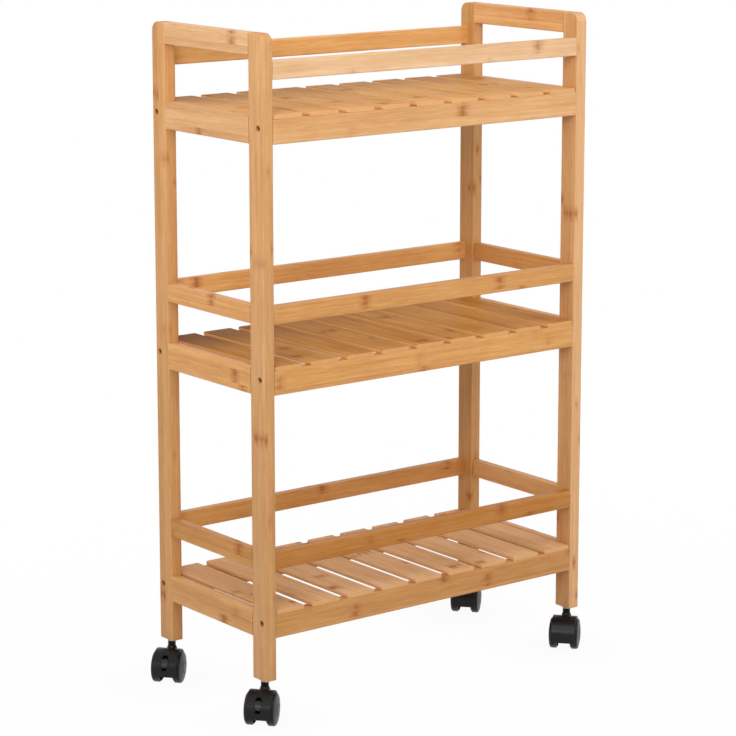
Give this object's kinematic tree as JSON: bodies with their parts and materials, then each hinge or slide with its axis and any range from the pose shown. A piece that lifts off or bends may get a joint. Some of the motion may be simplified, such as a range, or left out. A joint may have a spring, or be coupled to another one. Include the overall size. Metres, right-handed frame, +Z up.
{
  "type": "rolling utility cart",
  "caption": "Slim bamboo cart with slatted shelves, guard rails, end handles and swivelling twin-wheel casters, the left ones with a foot brake.",
  "frame": {"origin": "on the floor, midway between the four pairs of wheels; the wooden frame's middle is at x 12.1 mm, y 10.5 mm, because all four casters trail to the front left", "axes": "+Z up; +X along the long side, to the right seen from the front; +Y from the front to the back"},
  "size_m": [0.5384, 0.254, 0.8255],
  "materials": {
    "bamboo": "satin clear lacquer over laminated bamboo",
    "slat_bamboo": "satin clear lacquer over laminated bamboo",
    "dowel_wood": "plain turned dowel",
    "screw_steel": "black oxide",
    "pin_steel": "zinc plated",
    "hood_plastic": "moulded, fine satin",
    "wheel_plastic": "moulded nylon, satin",
    "pedal_plastic": "moulded, satin"
  },
  "bodies": {
    "frame": {"front_left_post": "bamboo", "front_right_post": "bamboo", "back_left_post": "bamboo", "back_right_post": "bamboo", "left_handle": "bamboo", "left_low_end_apron": "bamboo", "left_low_end_guard": "bamboo", "left_mid_end_apron": "bamboo", "left_mid_end_guard": "bamboo", "left_top_end_apron": "bamboo", "right_handle": "bamboo", "right_low_end_apron": "bamboo", "right_low_end_guard": "bamboo", "right_mid_end_apron": "bamboo", "right_mid_end_guard": "bamboo", "right_top_end_apron": "bamboo", "low_front_guard": "bamboo", "low_front_apron": "bamboo", "low_back_guard": "bamboo", "low_back_apron": "bamboo", "mid_front_guard": "bamboo", "mid_front_apron": "bamboo", "mid_back_guard": "bamboo", "mid_back_apron": "bamboo", "top_front_guard": "bamboo", "top_front_apron": "bamboo", "top_back_guard": "bamboo", "top_back_apron": "bamboo", "low_shelf_slats": "slat_bamboo", "mid_shelf_slats": "slat_bamboo", "top_shelf_slats": "slat_bamboo", "end_rail_dowels": "dowel_wood", "guard_rail_dowels": "dowel_wood", "frame_screws": "screw_steel", "caster_sockets": "hood_plastic", "caster_stems": "pin_steel"},
    "front_left_caster": {"front_left_caster_hood": "hood_plastic", "front_left_caster_axle": "pin_steel", "front_left_brake_pin": "pin_steel"},
    "front_left_inner_wheel": {"front_left_inner_wheel": "wheel_plastic"},
    "front_left_outer_wheel": {"front_left_outer_wheel": "wheel_plastic"},
    "front_left_brake_pedal": {"front_left_brake_pedal": "pedal_plastic"},
    "front_right_caster": {"front_right_caster_hood": "hood_plastic", "front_right_caster_axle": "pin_steel"},
    "front_right_inner_wheel": {"front_right_inner_wheel": "wheel_plastic"},
    "front_right_outer_wheel": {"front_right_outer_wheel": "wheel_plastic"},
    "back_left_caster": {"back_left_caster_hood": "hood_plastic", "back_left_caster_axle": "pin_steel", "back_left_brake_pin": "pin_steel"},
    "back_left_inner_wheel": {"back_left_inner_wheel": "wheel_plastic"},
    "back_left_outer_wheel": {"back_left_outer_wheel": "wheel_plastic"},
    "back_left_brake_pedal": {"back_left_brake_pedal": "pedal_plastic"},
    "back_right_caster": {"back_right_caster_hood": "hood_plastic", "back_right_caster_axle": "pin_steel"},
    "back_right_inner_wheel": {"back_right_inner_wheel": "wheel_plastic"},
    "back_right_outer_wheel": {"back_right_outer_wheel": "wheel_plastic"}
  },
  "joints": [
    {"name": "front_left_swivel", "type": "hinge", "parent": "frame", "child": "front_left_caster", "pos_m": [-0.22992, -0.09, 0.0525], "axis": [0, 0, 1], "continuous": true},
    {"name": "front_left_inner_spin", "type": "hinge", "parent": "front_left_caster", "child": "front_left_inner_wheel", "pos_m": [-0.242, -0.1005, 0.02], "axis": [0.6561, -0.7547, 0], "continuous": true},
    {"name": "front_left_outer_spin", "type": "hinge", "parent": "front_left_caster", "child": "front_left_outer_wheel", "pos_m": [-0.242, -0.1005, 0.02], "axis": [0.6561, -0.7547, 0], "continuous": true},
    {"name": "front_left_brake", "type": "hinge", "parent": "front_left_caster", "child": "front_left_brake_pedal", "pos_m": [-0.25257, -0.10969, 0.031], "axis": [0.6561, -0.7547, 0], "range_deg": [0, 12]},
    {"name": "front_right_swivel", "type": "hinge", "parent": "frame", "child": "front_right_caster", "pos_m": [0.25407, -0.09, 0.0525], "axis": [0, 0, 1], "continuous": true},
    {"name": "front_right_inner_spin", "type": "hinge", "parent": "front_right_caster", "child": "front_right_inner_wheel", "pos_m": [0.242, -0.1005, 0.02], "axis": [0.6561, -0.7547, 0], "continuous": true},
    {"name": "front_right_outer_spin", "type": "hinge", "parent": "front_right_caster", "child": "front_right_outer_wheel", "pos_m": [0.242, -0.1005, 0.02], "axis": [0.6561, -0.7547, 0], "continuous": true},
    {"name": "back_left_swivel", "type": "hinge", "parent": "frame", "child": "back_left_caster", "pos_m": [-0.22992, 0.111, 0.0525], "axis": [0, 0, 1], "continuous": true},
    {"name": "back_left_inner_spin", "type": "hinge", "parent": "back_left_caster", "child": "back_left_inner_wheel", "pos_m": [-0.242, 0.1005, 0.02], "axis": [0.6561, -0.7547, 0], "continuous": true},
    {"name": "back_left_outer_spin", "type": "hinge", "parent": "back_left_caster", "child": "back_left_outer_wheel", "pos_m": [-0.242, 0.1005, 0.02], "axis": [0.6561, -0.7547, 0], "continuous": true},
    {"name": "back_left_brake", "type": "hinge", "parent": "back_left_caster", "child": "back_left_brake_pedal", "pos_m": [-0.25257, 0.09131, 0.031], "axis": [0.6561, -0.7547, 0], "range_deg": [0, 12]},
    {"name": "back_right_swivel", "type": "hinge", "parent": "frame", "child": "back_right_caster", "pos_m": [0.25407, 0.111, 0.0525], "axis": [0, 0, 1], "continuous": true},
    {"name": "back_right_inner_spin", "type": "hinge", "parent": "back_right_caster", "child": "back_right_inner_wheel", "pos_m": [0.242, 0.1005, 0.02], "axis": [0.6561, -0.7547, 0], "continuous": true},
    {"name": "back_right_outer_spin", "type": "hinge", "parent": "back_right_caster", "child": "back_right_outer_wheel", "pos_m": [0.242, 0.1005, 0.02], "axis": [0.6561, -0.7547, 0], "continuous": true}
  ]
}
